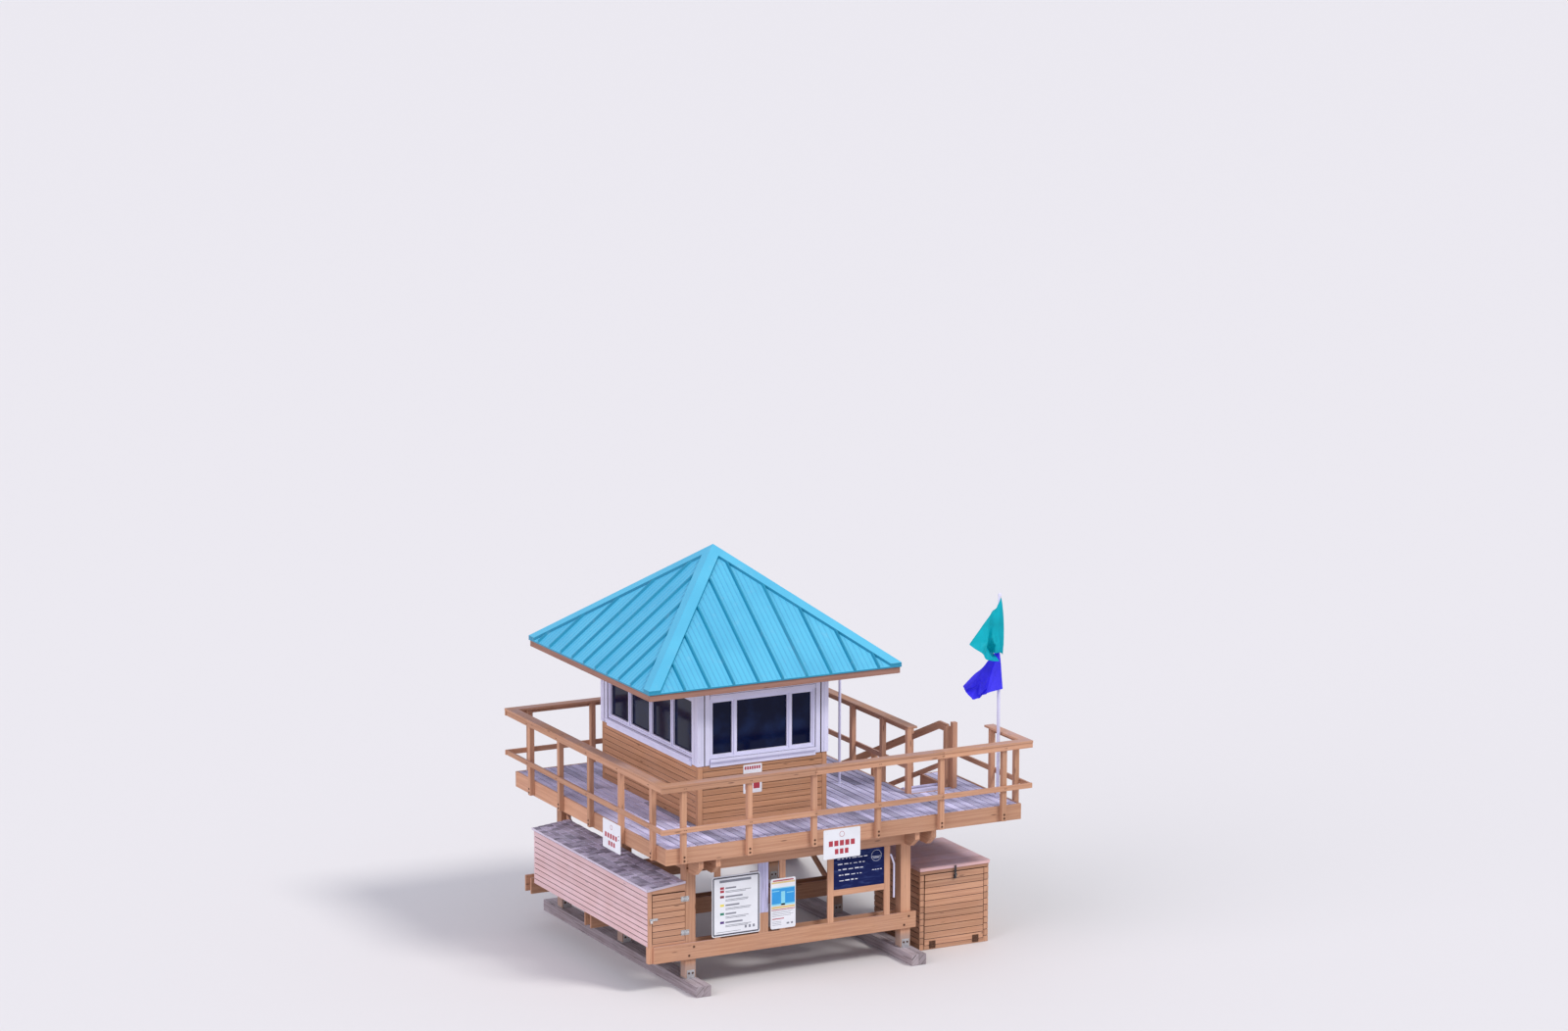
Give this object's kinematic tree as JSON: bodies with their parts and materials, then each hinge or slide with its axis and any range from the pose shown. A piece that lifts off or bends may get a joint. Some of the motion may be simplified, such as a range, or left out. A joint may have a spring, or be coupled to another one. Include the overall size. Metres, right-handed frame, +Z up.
{
  "type": "lifeguard tower",
  "caption": "Raised board cabin on timber skids with a square hipped metal roof, railed deck, ramp, board locker and cabinet with hinged doors.",
  "frame": {"origin": "middle of the bounding box's bottom, on the level floor", "axes": "+Z up; -Y is the land side with the sign boards; +X runs along the land side towards the flagpole and the cabinet"},
  "size_m": [7.044, 8.062, 6.978],
  "materials": {
    "stained_wood": "semi-transparent stain",
    "weathered_wood": "bare, weathered grey",
    "galvanised_steel": "galvanised",
    "roof_paint": "factory coat, satin",
    "white_paint": "satin paint",
    "sign_white": "printed sheet, bare",
    "slate": "chalkboard",
    "dark_glass": "dark tint",
    "green_cloth": "nylon",
    "purple_cloth": "nylon"
  },
  "bodies": {
    "tower": {"skids": "weathered_wood", "post_shoes": "galvanised_steel", "main_posts": "stained_wood", "girders": "stained_wood", "tie_beams": "stained_wood", "joists": "stained_wood", "rims": "stained_wood", "deck_boards": "weathered_wood", "rail_front": "stained_wood", "rail_left": "stained_wood", "rail_right": "stained_wood", "rail_back": "stained_wood", "rail_porch": "stained_wood", "ramp_frame": "stained_wood", "ramp_boards": "weathered_wood", "ramp_rails": "stained_wood", "wall_front": "stained_wood", "wall_back": "stained_wood", "wall_left": "stained_wood", "wall_right": "stained_wood", "window_frames": "white_paint", "window_glass": "dark_glass", "cabin_door": "white_paint", "ceiling": "stained_wood", "fascia": "stained_wood", "roof_metal": "roof_paint", "hip_caps": "roof_paint", "eave_pipe": "galvanised_steel", "locker_body": "stained_wood", "locker_roof": "weathered_wood", "leaf_hinges": "galvanised_steel", "cabinet_body": "stained_wood", "cabinet_lid": "stained_wood", "notice_boards": "sign_white", "board_uprights": "stained_wood", "chalk_slate": "slate", "sign_plates": "sign_white", "bent_pipe": "white_paint", "flagpole": "white_paint", "flag_green": "green_cloth", "flag_purple": "purple_cloth"},
    "locker_leaf": {"locker_door": "stained_wood", "locker_hasp": "galvanised_steel"},
    "cabinet_leaf": {"cabinet_door": "stained_wood", "cabinet_hasp": "galvanised_steel"}
  },
  "joints": [
    {"name": "locker_door_hinge", "type": "hinge", "parent": "tower", "child": "locker_leaf", "pos_m": [-2.804, -3.451, 1.3], "axis": [0, 0, 1], "range_deg": [0, 110]},
    {"name": "cabinet_door_hinge", "type": "hinge", "parent": "tower", "child": "cabinet_leaf", "pos_m": [2.485, -3.191, 0.068], "axis": [1, 0, 0], "range_deg": [0, 88]}
  ]
}
